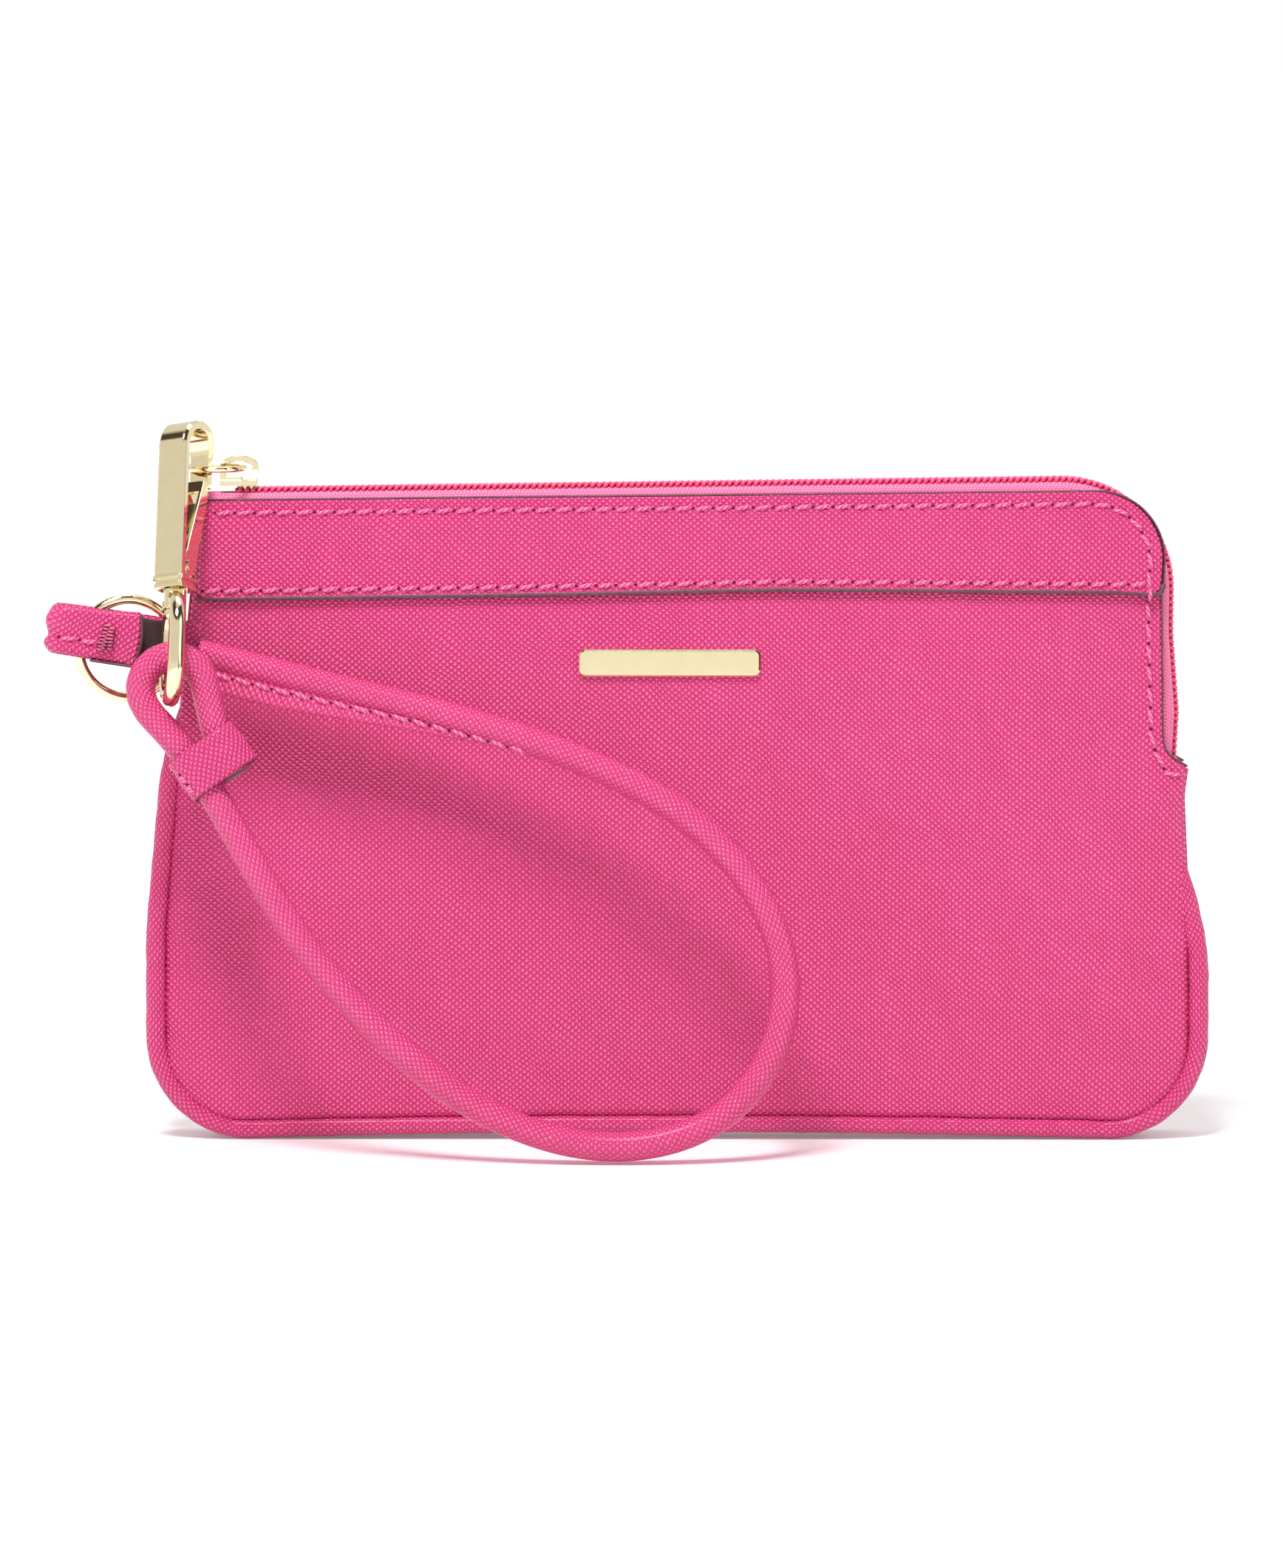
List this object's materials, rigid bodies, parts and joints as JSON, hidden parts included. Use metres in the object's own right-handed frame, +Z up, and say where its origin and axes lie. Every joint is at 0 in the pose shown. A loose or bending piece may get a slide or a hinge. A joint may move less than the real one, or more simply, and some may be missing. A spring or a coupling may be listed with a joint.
{
  "type": "wristlet wallet",
  "caption": "Zip-top leather wristlet pouch with piped seams, a front band and emblem bar, and a looped wrist strap held by a snap hook on the zip slider.",
  "frame": {"origin": "on the surface the pouch stands on, midway between the front and back panels and midway along the bottom edge", "axes": "+X along the pouch to the right of the front panel, +Y from the front panel to the back, +Z up to the zip"},
  "size_m": [0.2227, 0.0529, 0.1381],
  "materials": {
    "leather": "fine crosshatch embossed, semi-matt coated",
    "strap_leather": "fine crosshatch embossed, semi-matt coated, plum painted edges",
    "lining": "woven twill",
    "zip_tape": "woven polyester tape",
    "zip_coil": "dyed nylon coil",
    "gold_metal": "pale gold plating, polished",
    "spring_steel": "bright spring strip",
    "thread": "waxed thread"
  },
  "bodies": {
    "pouch": {"front_panel": "leather", "front_band": "leather", "back_panel": "leather", "gusset": "leather", "front_piping": "leather", "back_piping": "leather", "front_lining": "lining", "back_lining": "lining", "zip_tape_front": "zip_tape", "zip_tape_back": "zip_tape", "zip_coil_front": "zip_coil", "zip_coil_back": "zip_coil", "emblem_bar": "gold_metal", "emblem_washers": "gold_metal"},
    "zip_slider": {"slider_body": "gold_metal", "slider_crown": "gold_metal"},
    "jump_ring": {"jump_ring": "gold_metal"},
    "snap_hook": {"hook_body": "gold_metal", "gate_pin": "gold_metal", "swivel_stud": "gold_metal", "gate_spring": "spring_steel"},
    "hook_gate": {"hook_gate": "gold_metal"},
    "wrist_strap": {"swivel_ring": "gold_metal", "wrist_strap": "strap_leather", "strap_keeper": "strap_leather", "strap_end_fold": "strap_leather", "end_bartack": "thread"},
    "o_ring": {"o_ring": "gold_metal"}
  },
  "joints": [
    {"name": "slider_travel", "type": "slide", "parent": "pouch", "child": "zip_slider", "axis": [0.9999, 0, 0.0139], "range_m": [0, 0.15]},
    {"name": "jump_ring_tilt", "type": "hinge", "parent": "zip_slider", "child": "jump_ring", "pos_m": [-0.0841, 0, 0.12875], "axis": [-1, 0, 0], "range_deg": [0, 25]},
    {"name": "hook_lift", "type": "hinge", "parent": "jump_ring", "child": "snap_hook", "pos_m": [-0.0922, -0.008, 0.12875], "axis": [-1, 0, 0], "range_deg": [0, 22]},
    {"name": "strap_swivel", "type": "hinge", "parent": "snap_hook", "child": "wrist_strap", "pos_m": [-0.09509, -0.02056, 0.10444], "axis": [-0.0197, -0.3338, -0.9424], "range_deg": [0, 50]},
    {"name": "gate_open", "type": "hinge", "parent": "snap_hook", "child": "hook_gate", "pos_m": [-0.09442, -0.0173, 0.11076], "axis": [0.8778, -0.457, 0.1435], "range_deg": [0, 20], "stiffness_Nm_per_rad": 0.004, "springref_deg": -11.46, "deforming": ["gate_spring"]},
    {"name": "o_ring_turn", "type": "hinge", "parent": "wrist_strap", "child": "o_ring", "pos_m": [-0.1045, -0.0132, 0.095], "axis": [0.23, -0.9732, 0], "continuous": true}
  ]
}
